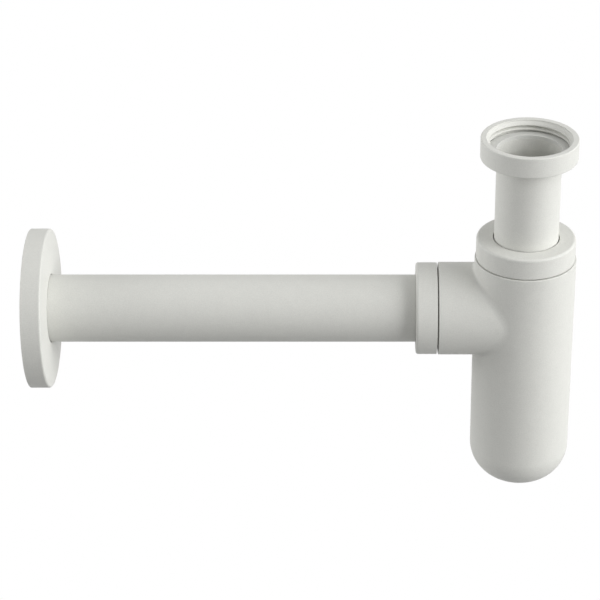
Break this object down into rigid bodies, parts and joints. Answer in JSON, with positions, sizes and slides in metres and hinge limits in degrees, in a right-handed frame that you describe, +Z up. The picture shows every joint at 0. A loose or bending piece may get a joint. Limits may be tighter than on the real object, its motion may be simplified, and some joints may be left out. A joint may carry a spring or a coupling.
{
  "type": "basin waste trap",
  "caption": "Round bottle trap for a wash basin: union nut and dip tube above a domed bottle, with a side outlet pipe and wall flange.",
  "frame": {"origin": "centre of the inlet washer's upper face, where the basin waste seats inside the union nut", "axes": "+Z up along the inlet tube, towards the basin; -X along the outlet pipe, towards the wall"},
  "size_m": [0.2739, 0.0804, 0.1945],
  "materials": {
    "painted_shell": "matte fine-textured off-white paint",
    "inlet_washer": "pale grey moulded rubber",
    "slip_washer": "natural white nylon",
    "seal": "black moulded rubber"
  },
  "bodies": {
    "inlet": {"inlet_tube": "painted_shell", "inlet_washer": "inlet_washer"},
    "union": {"union_nut": "painted_shell"},
    "sliding_seal": {"top_seal": "seal"},
    "trap_body": {"bottle": "painted_shell"},
    "top_slip": {"top_slip_washer": "slip_washer"},
    "top_collar": {"top_nut": "painted_shell"},
    "turning_seal": {"outlet_seal": "seal"},
    "outlet_slip": {"outlet_slip_washer": "slip_washer"},
    "outlet_collar": {"outlet_nut": "painted_shell"},
    "outlet": {"outlet_pipe": "painted_shell"},
    "flange_grip": {"flange_ring": "seal"},
    "flange": {"wall_flange": "painted_shell"}
  },
  "joints": [
    {"name": "union_nut_turn", "type": "hinge", "parent": "inlet", "child": "union", "pos_m": [0, 0, 0], "axis": [0, 0, 1], "continuous": true},
    {"name": "height_slide", "type": "slide", "parent": "inlet", "child": "sliding_seal", "axis": [0, 0, 1], "range_m": [-0.04, 0.018]},
    {"name": "bottle_swivel", "type": "hinge", "parent": "sliding_seal", "child": "trap_body", "pos_m": [0, 0, -0.055], "axis": [0, 0, 1], "continuous": true},
    {"name": "top_nut_lift", "type": "slide", "parent": "trap_body", "child": "top_slip", "axis": [0, 0, 1], "range_m": [0, 0.00692]},
    {"name": "top_nut_turn", "type": "hinge", "parent": "top_slip", "child": "top_collar", "pos_m": [0, 0, -0.05], "axis": [0, 0, 1], "range_deg": [0, 1080]},
    {"name": "outlet_nut_travel", "type": "slide", "parent": "trap_body", "child": "outlet_slip", "axis": [-1, 0, 0], "range_m": [0, 0.00692]},
    {"name": "outlet_nut_turn", "type": "hinge", "parent": "outlet_slip", "child": "outlet_collar", "pos_m": [-0.05, 0, -0.0888], "axis": [-1, 0, 0], "range_deg": [0, 1080]},
    {"name": "outlet_swivel", "type": "hinge", "parent": "trap_body", "child": "turning_seal", "pos_m": [-0.05, 0, -0.0888], "axis": [-1, 0, 0], "continuous": true},
    {"name": "outlet_slide", "type": "slide", "parent": "turning_seal", "child": "outlet", "axis": [-1, 0, 0], "range_m": [-0.006, 0.012]},
    {"name": "flange_slide", "type": "slide", "parent": "outlet", "child": "flange_grip", "axis": [1, 0, 0], "range_m": [0, 0.17]},
    {"name": "flange_turn", "type": "hinge", "parent": "flange_grip", "child": "flange", "pos_m": [-0.2435, 0, -0.0888], "axis": [1, 0, 0], "continuous": true}
  ],
  "couplings": [
    {"joint": "top_nut_turn", "follows": "top_nut_lift", "rad_per_m": 2721.2},
    {"joint": "outlet_nut_turn", "follows": "outlet_nut_travel", "rad_per_m": 2721.2}
  ]
}
